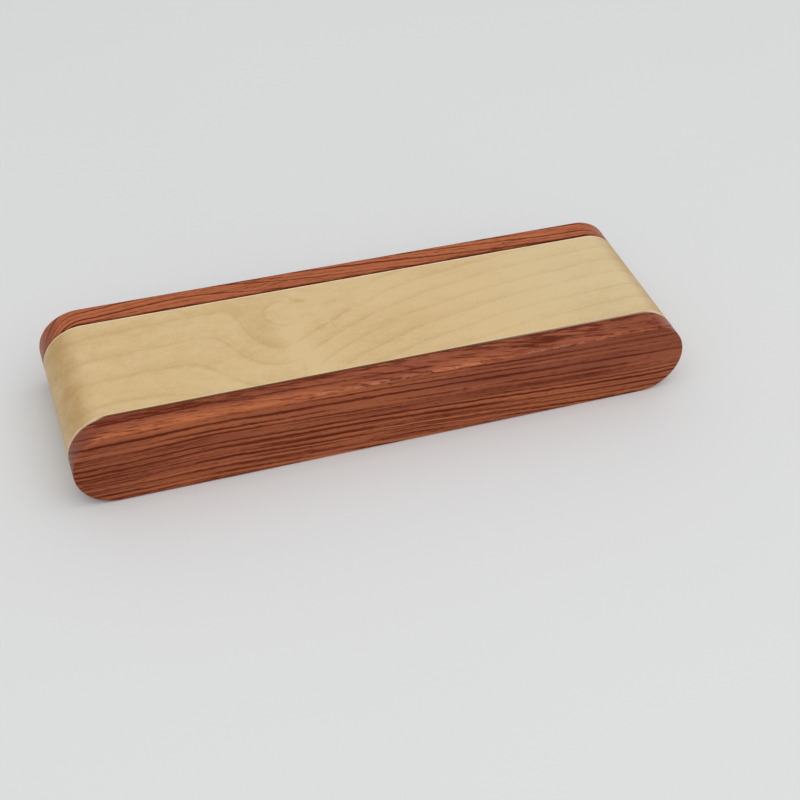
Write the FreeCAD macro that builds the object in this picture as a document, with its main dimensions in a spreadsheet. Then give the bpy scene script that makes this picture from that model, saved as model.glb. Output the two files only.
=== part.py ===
import math
import os

import FreeCAD, Part
import Sketcher
from FreeCAD import Placement, Rotation, Vector

# Fountain pen case: a maple centre between two rosewood rails, all with the same profile,
# a bar with half-round ends.  The lower half of the centre is the base, glued and dowelled
# to the rails.  The upper half is the lid: it turns on two hidden pins at the left end, and
# two pairs of disc magnets hold it shut at the right end.
#
# Frame: millimetres, +X along the length to the right, +Y to the rear, +Z up.  The origin is
# the middle of the underside.

os.makedirs("parts", exist_ok=True)
doc = FreeCAD.newDocument("fountain_pen_case")

DIMENSIONS = {
    # Outside
    "case_length": 156.0,
    "case_width": 48.0,
    "case_height": 21.0,
    "rail_thickness": 6.4,
    "rail_edge_round": 0.5,
    # Gaps round the lid
    "lid_side_gap": 0.25,
    "parting_gap": 0.2,
    "lid_edge_round": 0.3,
    "nail_groove_width": 1.0,
    # Pen trough, cut half in the base and half in the lid
    "trough_length": 148.1,
    "trough_shift": 0.25,
    "trough_width": 20.0,
    "trough_height": 15.0,
    "trough_corner_round": 6.0,
    # Pivot at the left end
    "pivot_inset": 3.0,
    "knuckle_radius": 2.7,
    "knuckle_gap": 0.3,
    "knuckle_reach": 7.35,
    "swing_radius": 4.1,
    "swing_angle": 97.0,
    "pin_diameter": 2.0,
    "pin_length": 10.5,
    "pin_in_rail": 4.5,
    "pin_chamfer": 0.2,
    "pin_hole_diameter": 2.08,
    "pin_hole_depth": 6.0,
    "washer_diameter": 4.4,
    "washer_bore": 2.1,
    "washer_thickness": 0.45,
    "washer_recess_diameter": 4.5,
    "washer_recess_depth": 0.25,
    # Magnets at the right end
    "magnet_diameter": 5.0,
    "magnet_thickness": 2.0,
    "magnet_round": 0.15,
    "magnet_x": 67.0,
    "magnet_y": 13.7,
    # Dowels between the rails and the base
    "dowel_diameter": 4.0,
    "dowel_length": 11.0,
    "dowel_in_rail": 4.6,
    "dowel_chamfer": 0.5,
    "dowel_x": 45.0,
    "dowel_z": 5.25,
    "dowel_glue_space": 0.2,
    # Pen bed
    "bed_length": 132.0,
    "bed_gap": 0.1,
    "bed_top": 9.9,
    "velvet_thickness": 0.5,
    "groove_radius": 6.6,
    "pen_axis_height": 10.65,
    # Liner under the lid
    "liner_length": 130.0,
    "liner_width": 19.0,
    "liner_corner_round": 3.0,
    "liner_foam_thickness": 0.5,
    "liner_velvet_thickness": 0.45,
    "liner_glue_gap": 0.05,
}

# Lengths and places that follow from the sheet, written as expressions
RAIL_FACE = "(Dimensions.case_width / 2 - Dimensions.rail_thickness)"
LID_FACE = f"({RAIL_FACE} - Dimensions.lid_side_gap)"
MID_HEIGHT = "(Dimensions.case_height / 2)"
BASE_TOP = f"({MID_HEIGHT} - Dimensions.parting_gap / 2)"
LID_BOTTOM = f"({MID_HEIGHT} + Dimensions.parting_gap / 2)"
PIVOT_X = "(Dimensions.pivot_inset - Dimensions.case_length / 2)"
TROUGH_TOP = f"({MID_HEIGHT} + Dimensions.trough_height / 2)"
TROUGH_FLOOR = f"({MID_HEIGHT} - Dimensions.trough_height / 2)"
DOWEL_HOLE_DEPTH = (
    "(Dimensions.dowel_length - Dimensions.dowel_in_rail + Dimensions.dowel_glue_space)"
)
BED_HALF_WIDTH = "(Dimensions.trough_width / 2 - Dimensions.bed_gap)"
BED_FLOOR = f"({TROUGH_FLOOR} + Dimensions.bed_gap)"
LINER_FOAM_TOP = f"({TROUGH_TOP} - Dimensions.liner_glue_gap)"
LINER_FOAM_FLOOR = f"({LINER_FOAM_TOP} - Dimensions.liner_foam_thickness)"
LINER_VELVET_FLOOR = f"({LINER_FOAM_FLOOR} - Dimensions.liner_velvet_thickness)"

# A cutting tool runs this far past the face it starts from
OVERCUT = 2.0

# Turns that lay a shape's own +Z along -Y, +Y, or leave it upright
TOWARDS_FRONT = Rotation(Vector(1, 0, 0), 90)
TOWARDS_REAR = Rotation(Vector(1, 0, 0), -90)
UPRIGHT = Rotation()

FRONT, REAR = -1, 1
SIDES = {"front": FRONT, "rear": REAR}

sub_parts = []


# ---------------------------------------------------------------- helpers


def make_sheet():
    """The driving dimensions: a name in column A and its value in column B."""
    sheet = doc.addObject("Spreadsheet::Sheet", "Dimensions")
    for row, (name, value) in enumerate(DIMENSIONS.items(), start=1):
        sheet.set(f"A{row}", name)
        sheet.set(f"B{row}", str(value))
        sheet.setAlias(f"B{row}", name)
    doc.recompute()
    return sheet


def value(expression):
    """What an expression over the sheet comes to, as a plain number."""
    return float(sheet.evalExpression(expression))


def bind(item, **expressions):
    """Bind properties to the sheet; a double underscore stands for a dot."""
    for name, expression in expressions.items():
        item.setExpression(name.replace("__", "."), expression)


def place(item, x="0", y="0", z="0", rotation=UPRIGHT):
    """Turn an object, then bind where it stands."""
    item.Placement = Placement(Vector(value(x), value(y), value(z)), rotation)
    bind(item, Placement__Base__x=x, Placement__Base__y=y, Placement__Base__z=z)


def keep(item, label):
    """Give a finished sub-part the label that names its file."""
    item.Label = label
    sub_parts.append(item)
    return item


def make_body(name):
    return doc.addObject("PartDesign::Body", name)


def body_sketch(body, role, offset="0"):
    """A sketch on one of a body's own planes, moved along the plane's normal."""
    plane = next(item for item in body.Origin.OriginFeatures if item.Role == role)
    sketch = body.newObject("Sketcher::SketchObject", f"{body.Name}_sketch")
    sketch.AttachmentSupport = [(plane, "")]
    sketch.MapMode = "FlatFace"
    bind(sketch, AttachmentOffset__Base__z=offset)
    return sketch


def free_sketch(name, rotation):
    """A sketch on its own, for an extruded cutting tool."""
    sketch = doc.addObject("Sketcher::SketchObject", name)
    sketch.Placement = Placement(Vector(), rotation)
    return sketch


def measure(sketch, name, expression, *constraint):
    """Add a driving dimension to a sketch and bind it to the sheet."""
    index = sketch.addConstraint(Sketcher.Constraint(*constraint, value(expression)))
    sketch.renameConstraint(index, name)
    sketch.setExpression(f"Constraints.{name}", expression)


def arc(centre_x, centre_y, radius, first, last):
    """An arc of a circle between two angles in degrees, counterclockwise."""
    circle = Part.Circle(Vector(centre_x, centre_y, 0), Vector(0, 0, 1), radius)
    return Part.ArcOfCircle(circle, math.radians(first), math.radians(last))


def line(x1, y1, x2, y2):
    return Part.LineSegment(Vector(x1, y1, 0), Vector(x2, y2, 0))


def draw_circle(sketch, x, y, diameter, name="circle"):
    """A circle of a bound diameter at a bound place."""
    centre = Vector(value(x), value(y), 0)
    circle = sketch.addGeometry(Part.Circle(centre, Vector(0, 0, 1), value(diameter) / 2))
    measure(sketch, f"{name}_diameter", diameter, "Diameter", circle)
    measure(sketch, f"{name}_x", x, "DistanceX", -1, 1, circle, 3)
    measure(sketch, f"{name}_y", y, "DistanceY", -1, 1, circle, 3)


def draw_bar(sketch, length, height, shift="0"):
    """A bar with half-round ends at mid-height, its middle moved along the length."""
    radius = value(height) / 2
    half = value(length) / 2 - radius
    middle = value(shift)
    level = value(MID_HEIGHT)
    left, lower, right, upper = sketch.addGeometry([
        arc(middle - half, level, radius, 90, 270),
        line(middle - half, level - radius, middle + half, level - radius),
        arc(middle + half, level, radius, -90, 90),
        line(middle + half, level + radius, middle - half, level + radius),
    ])
    sketch.addConstraint([
        Sketcher.Constraint("Tangent", left, 2, lower, 1),
        Sketcher.Constraint("Tangent", lower, 2, right, 1),
        Sketcher.Constraint("Tangent", right, 2, upper, 1),
        Sketcher.Constraint("Tangent", upper, 2, left, 1),
        Sketcher.Constraint("Horizontal", lower),
    ])
    spacing = f"{length} - {height}"
    measure(sketch, "end_radius", f"{height} / 2", "Radius", left)
    measure(sketch, "end_spacing", spacing, "DistanceX", left, 3, right, 3)
    measure(sketch, "right_end_x", f"({spacing}) / 2 + {shift}", "DistanceX", -1, 1, right, 3)
    measure(sketch, "level", MID_HEIGHT, "DistanceY", -1, 1, right, 3)


def draw_rounded_rectangle(sketch, length, width, corner, shift="0"):
    """A rectangle with rounded corners about the X axis, its middle moved along X."""
    radius = value(corner)
    flat_x = value(length) / 2 - radius
    flat_y = value(width) / 2 - radius
    middle = value(shift)
    top, bottom = flat_y + radius, -flat_y - radius
    right, left = middle + flat_x + radius, middle - flat_x - radius
    pieces = sketch.addGeometry([
        arc(middle + flat_x, flat_y, radius, 0, 90),
        line(middle + flat_x, top, middle - flat_x, top),
        arc(middle - flat_x, flat_y, radius, 90, 180),
        line(left, flat_y, left, -flat_y),
        arc(middle - flat_x, -flat_y, radius, 180, 270),
        line(middle - flat_x, bottom, middle + flat_x, bottom),
        arc(middle + flat_x, -flat_y, radius, 270, 360),
        line(right, -flat_y, right, flat_y),
    ])
    for piece, following in zip(pieces, pieces[1:] + pieces[:1]):
        sketch.addConstraint(Sketcher.Constraint("Tangent", piece, 2, following, 1))
    corners = pieces[0::2]
    for other in corners[1:]:
        sketch.addConstraint(Sketcher.Constraint("Equal", corners[0], other))
    sketch.addConstraint(Sketcher.Constraint("Horizontal", pieces[1]))
    first, last = corners[0], corners[2]
    inner_x = f"({length} - 2 * {corner})"
    inner_y = f"({width} - 2 * {corner})"
    measure(sketch, "corner", corner, "Radius", first)
    measure(sketch, "inner_length", inner_x, "DistanceX", last, 3, first, 3)
    measure(sketch, "inner_width", inner_y, "DistanceY", last, 3, first, 3)
    measure(sketch, "first_x", f"{inner_x} / 2 + {shift}", "DistanceX", -1, 1, first, 3)
    measure(sketch, "first_y", f"{inner_y} / 2", "DistanceY", -1, 1, first, 3)


def draw_bed(sketch, top, groove_radius):
    """The bed's section: a block as wide as the trough, with a round groove for the pen."""
    half, floor, level = value(BED_HALF_WIDTH), value(BED_FLOOR), value(top)
    radius, axis = value(groove_radius), value("Dimensions.pen_axis_height")
    reach = math.sqrt(radius ** 2 - (axis - level) ** 2)
    rim = math.degrees(math.asin((axis - level) / radius))
    under, right, right_top, hollow, left_top, left = sketch.addGeometry([
        line(-half, floor, half, floor),
        line(half, floor, half, level),
        line(half, level, reach, level),
        arc(0, axis, radius, 180 + rim, 360 - rim),
        line(-reach, level, -half, level),
        line(-half, level, -half, floor),
    ])
    sketch.addConstraint([
        Sketcher.Constraint("Coincident", under, 2, right, 1),
        Sketcher.Constraint("Coincident", right, 2, right_top, 1),
        Sketcher.Constraint("Coincident", right_top, 2, hollow, 2),
        Sketcher.Constraint("Coincident", hollow, 1, left_top, 1),
        Sketcher.Constraint("Coincident", left_top, 2, left, 1),
        Sketcher.Constraint("Coincident", left, 2, under, 1),
        Sketcher.Constraint("Horizontal", under),
        Sketcher.Constraint("Vertical", right),
        Sketcher.Constraint("Vertical", left),
        Sketcher.Constraint("Horizontal", right_top),
        Sketcher.Constraint("Horizontal", left_top),
        Sketcher.Constraint("PointOnObject", hollow, 3, -2),
    ])
    measure(sketch, "groove", groove_radius, "Radius", hollow)
    measure(sketch, "axis", "Dimensions.pen_axis_height", "DistanceY", -1, 1, hollow, 3)
    measure(sketch, "right_side", BED_HALF_WIDTH, "DistanceX", -1, 1, under, 2)
    measure(sketch, "left_side", BED_HALF_WIDTH, "DistanceX", under, 1, -1, 1)
    measure(sketch, "underside", BED_FLOOR, "DistanceY", -1, 1, under, 1)
    measure(sketch, "right_level", top, "DistanceY", -1, 1, right, 2)
    measure(sketch, "left_level", top, "DistanceY", -1, 1, left, 1)


def pad(body, sketch, length, side_type="One side", reverse=False):
    """Pad a sketch, along its normal unless reversed."""
    feature = body.newObject("PartDesign::Pad", f"{body.Name}_pad")
    feature.Profile = sketch
    feature.SideType = side_type
    feature.Reversed = reverse
    bind(feature, Length=length)
    doc.recompute()
    return feature


def pocket(body, sketch, depth, reverse):
    """Cut a sketch into a body, and make sure that it cut something."""
    before = body.Shape.Volume
    feature = body.newObject("PartDesign::Pocket", f"{body.Name}_pocket")
    feature.Profile = sketch
    feature.Reversed = reverse
    bind(feature, Length=depth)
    doc.recompute()
    if body.Shape.Volume >= before:
        raise RuntimeError(f"{feature.Name} cuts nothing")
    return feature


def dress(body, kind, size, wanted):
    """Round or chamfer the edges of a body's last feature that are wanted."""
    last = body.Tip
    names = [f"Edge{i}" for i, edge in enumerate(last.Shape.Edges, start=1) if wanted(edge)]
    feature = body.newObject(f"PartDesign::{kind}", f"{body.Name}_{kind.lower()}")
    feature.Base = (last, names)
    bind(feature, **{"Radius" if kind == "Fillet" else "Size": size})
    doc.recompute()
    return feature


def at_level(axis, level):
    """A test for edges that lie wholly at one level along an axis."""
    low, high = f"{axis}Min", f"{axis}Max"
    return lambda edge: (
        abs(getattr(edge.BoundBox, low) - level) < 0.01
        and abs(getattr(edge.BoundBox, high) - level) < 0.01
    )


def extrude(sketch, name, length, symmetric):
    """An extruded cutting tool."""
    tool = doc.addObject("Part::Extrusion", name)
    tool.Base = sketch
    tool.DirMode = "Normal"
    tool.Solid = True
    tool.Symmetric = symmetric
    bind(tool, LengthFwd=length)
    return tool


def cylinder(name, diameter, length, x, y, z, rotation):
    """A cylinder that starts at a point and runs along its own +Z after the turn."""
    item = doc.addObject("Part::Cylinder", name)
    bind(item, Radius=f"{diameter} / 2", Height=length)
    place(item, x, y, z, rotation)
    return item


def box(name, length, width, height, x, y, z):
    item = doc.addObject("Part::Box", name)
    bind(item, Length=length, Width=width, Height=height)
    place(item, x, y, z)
    return item


def fuse(name, shapes):
    item = doc.addObject("Part::MultiFuse", name)
    item.Shapes = shapes
    return item


def combine(kind, name, base, tool):
    """A Part::Cut or Part::Common of two objects."""
    item = doc.addObject(f"Part::{kind}", name)
    item.Base = base
    item.Tool = tool
    return item


# ---------------------------------------------------------------- rails


def make_rail(name, side):
    """A rail: the full profile, rounded outside, with blind holes in its inner face."""
    body = make_body(name)
    inner_face = f"{-side} * {RAIL_FACE}"
    profile = body_sketch(body, "XZ_Plane", inner_face)
    draw_bar(profile, "Dimensions.case_length", "Dimensions.case_height")
    pad(body, profile, "Dimensions.rail_thickness", reverse=side == REAR)

    outer_face = side * value("Dimensions.case_width / 2")
    dress(body, "Fillet", "Dimensions.rail_edge_round", at_level("Y", outer_face))

    pin_hole = body_sketch(body, "XZ_Plane", inner_face)
    draw_circle(pin_hole, PIVOT_X, MID_HEIGHT, "Dimensions.pin_diameter")
    pocket(body, pin_hole, "Dimensions.pin_in_rail", reverse=side == FRONT)

    dowel_holes = body_sketch(body, "XZ_Plane", inner_face)
    for end, x in (("left", "-Dimensions.dowel_x"), ("right", "Dimensions.dowel_x")):
        draw_circle(dowel_holes, x, "Dimensions.dowel_z", "Dimensions.dowel_diameter", end)
    pocket(body, dowel_holes, "Dimensions.dowel_in_rail", reverse=side == FRONT)
    return keep(body, name)


# ---------------------------------------------------------------- small round parts


def make_round_part(name, diameter, length, edge=None, bore=None):
    """A turned part about its own +Z, with eased rims or a bore."""
    body = make_body(name)
    sketch = body_sketch(body, "XY_Plane")
    draw_circle(sketch, "0", "0", diameter)
    if bore:
        draw_circle(sketch, "0", "0", bore, "bore")
    pad(body, sketch, length)
    if edge:
        kind, size = edge
        height = value(length)
        rims = (at_level("Z", 0), at_level("Z", height))
        dress(body, kind, size, lambda rim: any(test(rim) for test in rims))
    return keep(body, name)


def make_dowels():
    """Four dowels, each pressed into a rail and glued into the base."""
    inner_end = "(Dimensions.dowel_length - Dimensions.dowel_in_rail)"
    for side_name, side in SIDES.items():
        for end_name, sign in (("left", "-"), ("right", "")):
            dowel = make_round_part(
                f"dowel_{side_name}_{end_name}", "Dimensions.dowel_diameter",
                "Dimensions.dowel_length", edge=("Chamfer", "Dimensions.dowel_chamfer"),
            )
            place(
                dowel, f"{sign}Dimensions.dowel_x", f"{side} * ({RAIL_FACE} - {inner_end})",
                "Dimensions.dowel_z", TOWARDS_REAR if side == REAR else TOWARDS_FRONT,
            )


def make_pivot_parts():
    """A pin in each rail and a washer round it in the lid's side."""
    inner_end = "(Dimensions.pin_length - Dimensions.pin_in_rail)"
    for side_name, side in SIDES.items():
        outwards = TOWARDS_REAR if side == REAR else TOWARDS_FRONT
        pin = make_round_part(
            f"pivot_pin_{side_name}", "Dimensions.pin_diameter", "Dimensions.pin_length",
            edge=("Chamfer", "Dimensions.pin_chamfer"),
        )
        place(pin, PIVOT_X, f"{side} * ({RAIL_FACE} - {inner_end})", MID_HEIGHT, outwards)
        washer = make_round_part(
            f"pivot_washer_{side_name}", "Dimensions.washer_diameter",
            "Dimensions.washer_thickness", bore="Dimensions.washer_bore",
        )
        recess_floor = f"{side} * ({LID_FACE} - Dimensions.washer_recess_depth)"
        place(washer, PIVOT_X, recess_floor, MID_HEIGHT, outwards)


def make_magnets():
    """Two pairs of disc magnets, flush with the faces that meet at the parting line."""
    floors = {"base": f"({BASE_TOP} - Dimensions.magnet_thickness)", "lid": LID_BOTTOM}
    for half, floor in floors.items():
        for side_name, side in SIDES.items():
            magnet = make_round_part(
                f"{half}_magnet_{side_name}", "Dimensions.magnet_diameter",
                "Dimensions.magnet_thickness", edge=("Fillet", "Dimensions.magnet_round"),
            )
            place(magnet, "Dimensions.magnet_x", f"{side} * Dimensions.magnet_y", floor)


# ---------------------------------------------------------------- maple centre


def make_centre_blank(name, half_width, edge_round=None):
    """The centre's full profile, as wide as it is asked to be."""
    body = make_body(name)
    profile = body_sketch(body, "XZ_Plane")
    draw_bar(profile, "Dimensions.case_length", "Dimensions.case_height")
    pad(body, profile, f"2 * {half_width}", side_type="Symmetric")
    if edge_round:
        face = value(half_width)
        sides = (at_level("Y", face), at_level("Y", -face))
        dress(body, "Fillet", edge_round, lambda edge: any(test(edge) for test in sides))
    return body


def make_half(name, blank, floor, height):
    """The part of a centre blank between two levels."""
    slab = box(
        f"{name}_slab", "2 * Dimensions.case_length", "2 * Dimensions.case_width", height,
        "-Dimensions.case_length", "-Dimensions.case_width", floor,
    )
    return combine("Common", name, blank, slab)


def make_trough():
    """The room for the pen: round-ended from the side, with rounded corners from above."""
    side = free_sketch("trough_side_sketch", TOWARDS_FRONT)
    draw_bar(
        side, "Dimensions.trough_length", "Dimensions.trough_height", "Dimensions.trough_shift"
    )
    plan = free_sketch("trough_plan_sketch", UPRIGHT)
    draw_rounded_rectangle(
        plan, "Dimensions.trough_length", "Dimensions.trough_width",
        "Dimensions.trough_corner_round", "Dimensions.trough_shift",
    )
    return combine(
        "Common", "trough",
        extrude(side, "trough_side", "Dimensions.case_width", symmetric=True),
        extrude(plan, "trough_plan", "Dimensions.case_height", symmetric=False),
    )


def make_magnet_recesses():
    """One hole at each side that runs through the parting line into both halves."""
    floor = f"({BASE_TOP} - Dimensions.magnet_thickness)"
    depth = "(2 * Dimensions.magnet_thickness + Dimensions.parting_gap)"
    return [
        cylinder(
            f"magnet_recess_{side_name}", "Dimensions.magnet_diameter", depth,
            "Dimensions.magnet_x", f"{side} * Dimensions.magnet_y", floor, UPRIGHT,
        )
        for side_name, side in SIDES.items()
    ]


def make_nail_groove():
    """A square bar on its corner, which leaves a V for a fingernail at the right end."""
    width = "Dimensions.nail_groove_width"
    item = doc.addObject("Part::Box", "nail_groove")
    bind(item, Length=width, Width="2 * Dimensions.case_width", Height=width)
    corner = f"(Dimensions.case_length / 2 - sqrt(2) / 2 * {width})"
    turn = Rotation(Vector(0, 1, 0), 45)
    place(item, corner, "-Dimensions.case_width", MID_HEIGHT, turn)
    return item


def side_holes(name, diameter, depth, x, z, face):
    """A hole in each side of the centre, from its outer face inwards."""
    holes = []
    for side_name, side in SIDES.items():
        inwards = TOWARDS_FRONT if side == REAR else TOWARDS_REAR
        start = f"{side} * ({face} + {OVERCUT})"
        length = f"({depth} + {OVERCUT})"
        holes.append(cylinder(f"{name}_{side_name}", diameter, length, x, start, z, inwards))
    return holes


def make_swing_relief():
    """The room in the base for the lid's short end, which turns down as the lid opens."""
    sweep = cylinder(
        "swing_sweep", "(2 * Dimensions.swing_radius)", "2 * Dimensions.case_width",
        PIVOT_X, "Dimensions.case_width", MID_HEIGHT,
        TOWARDS_FRONT * Rotation(Vector(0, 0, 1), 180),
    )
    bind(sweep, Angle="Dimensions.swing_angle")
    room = "(2 * (Dimensions.knuckle_radius + Dimensions.knuckle_gap))"
    depth = "(Dimensions.knuckle_reach + Dimensions.lid_side_gap + Dimensions.knuckle_gap)"
    return [sweep] + side_holes("knuckle_room", room, depth, PIVOT_X, MID_HEIGHT, RAIL_FACE)


def make_base(trough, magnet_recesses, nail_groove):
    """The lower half of the centre, as wide as the space between the rails."""
    blank = make_centre_blank("base_blank", RAIL_FACE)
    half = make_half("base_half", blank, "0", BASE_TOP)
    tools = [trough, nail_groove] + magnet_recesses + make_swing_relief()
    for x in ("-Dimensions.dowel_x", "Dimensions.dowel_x"):
        tools += side_holes(
            "dowel_hole", "Dimensions.dowel_diameter", DOWEL_HOLE_DEPTH,
            x, "Dimensions.dowel_z", RAIL_FACE,
        )
    return keep(combine("Cut", "base_block", half, fuse("base_tools", tools)), "base_block")


def make_lid(trough, magnet_recesses, nail_groove):
    """The upper half of the centre, with a knuckle at each side round the pivot."""
    blank = make_centre_blank("lid_blank", LID_FACE, "Dimensions.lid_edge_round")
    half = make_half("lid_half", blank, LID_BOTTOM, "Dimensions.case_height")
    knuckles = [
        cylinder(
            f"knuckle_{side_name}", "(2 * Dimensions.knuckle_radius)", "Dimensions.knuckle_reach",
            PIVOT_X, f"{side} * {LID_FACE}", MID_HEIGHT,
            TOWARDS_FRONT if side == REAR else TOWARDS_REAR,
        )
        for side_name, side in SIDES.items()
    ]
    tools = [trough, nail_groove] + magnet_recesses
    tools += side_holes(
        "pin_hole", "Dimensions.pin_hole_diameter", "Dimensions.pin_hole_depth",
        PIVOT_X, MID_HEIGHT, LID_FACE,
    )
    tools += side_holes(
        "washer_recess", "Dimensions.washer_recess_diameter", "Dimensions.washer_recess_depth",
        PIVOT_X, MID_HEIGHT, LID_FACE,
    )
    block = fuse("lid_block", [half] + knuckles)
    return keep(combine("Cut", "lid", block, fuse("lid_tools", tools)), "lid")


# ---------------------------------------------------------------- bed and liner


def make_bed():
    """A grooved foam block, and the velvet over its top, its groove and its two ends."""
    velvet = "Dimensions.velvet_thickness"
    foam = make_body("bed_foam")
    section = body_sketch(foam, "YZ_Plane", "Dimensions.trough_shift")
    draw_bed(section, f"(Dimensions.bed_top - {velvet})", f"(Dimensions.groove_radius + {velvet})")
    pad(foam, section, "Dimensions.bed_length", side_type="Symmetric")

    cover = make_body("bed_cover")
    section = body_sketch(cover, "YZ_Plane", "Dimensions.trough_shift")
    draw_bed(section, "Dimensions.bed_top", "Dimensions.groove_radius")
    pad(cover, section, f"Dimensions.bed_length + 2 * {velvet}", side_type="Symmetric")
    keep(foam, "bed_foam")
    keep(combine("Cut", "bed_velvet", cover, foam), "bed_velvet")


def make_liner(name, floor, thickness):
    """One layer of the liner under the lid."""
    body = make_body(name)
    plan = body_sketch(body, "XY_Plane", floor)
    draw_rounded_rectangle(
        plan, "Dimensions.liner_length", "Dimensions.liner_width",
        "Dimensions.liner_corner_round", "Dimensions.trough_shift",
    )
    pad(body, plan, thickness)
    return keep(body, name)


# ---------------------------------------------------------------- the case


def check_and_export():
    """Stop on any failed object, then write one file for each sub-part."""
    doc.recompute()
    for item in doc.Objects:
        if "Invalid" in item.State or "Error" in item.State:
            raise RuntimeError(f"{item.Name} failed: {item.State}")
    for item in sub_parts:
        if item.Shape.isNull() or not item.Shape.isValid() or len(item.Shape.Solids) != 1:
            raise RuntimeError(f"{item.Label} is not one valid solid")
    for item in sub_parts:
        item.Shape.exportStep(f"parts/{item.Label}.step")
        print(f"{item.Label:20s} {item.Shape.Volume:10.1f} mm3")


sheet = make_sheet()
for rail_side_name, rail_side in SIDES.items():
    make_rail(f"{rail_side_name}_rail", rail_side)
pen_trough = make_trough()
recesses = make_magnet_recesses()
groove = make_nail_groove()
make_base(pen_trough, recesses, groove)
make_lid(pen_trough, recesses, groove)
make_dowels()
make_pivot_parts()
make_magnets()
make_bed()
make_liner("lid_foam", LINER_FOAM_FLOOR, "Dimensions.liner_foam_thickness")
make_liner("lid_velvet", LINER_VELVET_FLOOR, "Dimensions.liner_velvet_thickness")
check_and_export()
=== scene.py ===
"""The looks of a fountain pen case: a maple centre between two rosewood rails.

The maple is split into a base and a lid that turns on two pins at the left end.  Inside are
a bed and a liner of black velvet over foam.  Shapes are worked out in millimetres in the
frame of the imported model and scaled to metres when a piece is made.
"""

import math
from types import SimpleNamespace

import bmesh
import bpy
from mathutils import Matrix, Vector, noise


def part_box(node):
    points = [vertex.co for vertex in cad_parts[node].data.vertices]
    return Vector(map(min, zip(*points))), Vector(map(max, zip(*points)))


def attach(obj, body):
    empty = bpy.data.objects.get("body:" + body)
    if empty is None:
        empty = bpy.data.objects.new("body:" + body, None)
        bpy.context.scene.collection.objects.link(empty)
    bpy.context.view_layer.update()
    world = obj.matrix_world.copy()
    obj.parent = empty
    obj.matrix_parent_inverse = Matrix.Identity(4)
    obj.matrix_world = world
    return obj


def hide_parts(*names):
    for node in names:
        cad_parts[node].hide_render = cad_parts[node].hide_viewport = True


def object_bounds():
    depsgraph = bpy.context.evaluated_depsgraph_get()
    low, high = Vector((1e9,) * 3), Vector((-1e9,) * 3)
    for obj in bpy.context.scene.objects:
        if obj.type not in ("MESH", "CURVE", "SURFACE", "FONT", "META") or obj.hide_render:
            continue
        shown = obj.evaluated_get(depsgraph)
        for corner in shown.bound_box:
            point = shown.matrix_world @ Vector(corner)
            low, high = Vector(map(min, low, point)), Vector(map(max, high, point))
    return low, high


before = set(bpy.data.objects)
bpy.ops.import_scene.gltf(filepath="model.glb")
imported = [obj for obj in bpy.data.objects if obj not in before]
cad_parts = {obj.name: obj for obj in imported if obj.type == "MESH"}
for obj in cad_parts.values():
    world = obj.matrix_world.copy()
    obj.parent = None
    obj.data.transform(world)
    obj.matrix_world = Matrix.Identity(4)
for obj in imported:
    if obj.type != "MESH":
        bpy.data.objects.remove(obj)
cad_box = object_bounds()

MM = 0.001
SIDES = {"front": -1, "rear": 1}


def span(node):
    """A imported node's lowest and highest corners in millimetres."""
    low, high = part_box(node)
    return low / MM, high / MM


# ---------------------------------------------------------------- sizes, in millimetres

CASE_LOW, CASE_HIGH = (corner / MM for corner in cad_box)
LENGTH = CASE_HIGH.x - CASE_LOW.x
HEIGHT = CASE_HIGH.z - CASE_LOW.z
MIDDLE = HEIGHT / 2
RADIUS = HEIGHT / 2
STRAIGHT = LENGTH / 2 - RADIUS
RAIL_OUT = CASE_HIGH.y
RAIL_IN = span("rear_rail")[0].y
LID_FACE = span("lid")[1].y
PARTING = 0.06
BASE_TOP = MIDDLE - PARTING / 2
LID_BOTTOM = MIDDLE + PARTING / 2

RAIL_ROUND = 0.5
SMALL_ROUND = 0.12
LID_ROUND = 0.3
MAPLE_ARRIS = 0.09

# Steps round the outline: along each straight side, and round each half-round end
ALONG_STEPS = 520
ROUND_STEPS = 130
# How far a cutter reaches to be well clear of the case
CLEAR = 40.0

TROUGH_LENGTH = 148.1
TROUGH_WIDTH = 20.0
TROUGH_HEIGHT = 15.0
TROUGH_CORNER = 6.0
TROUGH_SHIFT = 0.25

PIVOT_X = -75.0
KNUCKLE_RADIUS = 2.7
KNUCKLE_REACH = 7.35
KNUCKLE_GAP = 0.3
SWING_RADIUS = 4.1
SWING_ANGLE = 97.0
PIN_HOLE = 2.08
PIN_HOLE_DEPTH = 6.0
WASHER_RECESS = 4.5
WASHER_RECESS_DEPTH = 0.25
WASHER_BORE_RADIUS = 1.05
WASHER_CHAMFER = 0.06
WASHER_ROUND = 0.1
PIN_ROUND = 0.2
MAGNET_ROUND = 0.15
DOWEL_ROUND = 0.5
DOWEL_FLUTES = 20
# How deep the flutes are, as a share of the dowel's radius
FLUTE_SHARE = 0.06
# How far a dowel's hole goes on beyond its end
DOWEL_PLAY = 0.2
NAIL_GROOVE = 1.0

VELVET = 0.5
GROOVE_RADIUS = 6.6
PEN_AXIS = 10.65
FOAM_EDGE = 0.15
COVER_EDGE = 0.85
COVER_END_ROUND = 0.42
COVER_UNEVEN = 0.05
LINER_CORNER = 3.0

# Angles in degrees above which an edge is shown sharp
WOOD_ANGLE = 35.0
CLOTH_ANGLE = 50.0
FLUTE_ANGLE = 60.0
# Points closer than this, in millimetres, are one point
MERGE = 1e-5


# ---------------------------------------------------------------- mesh helpers


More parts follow.
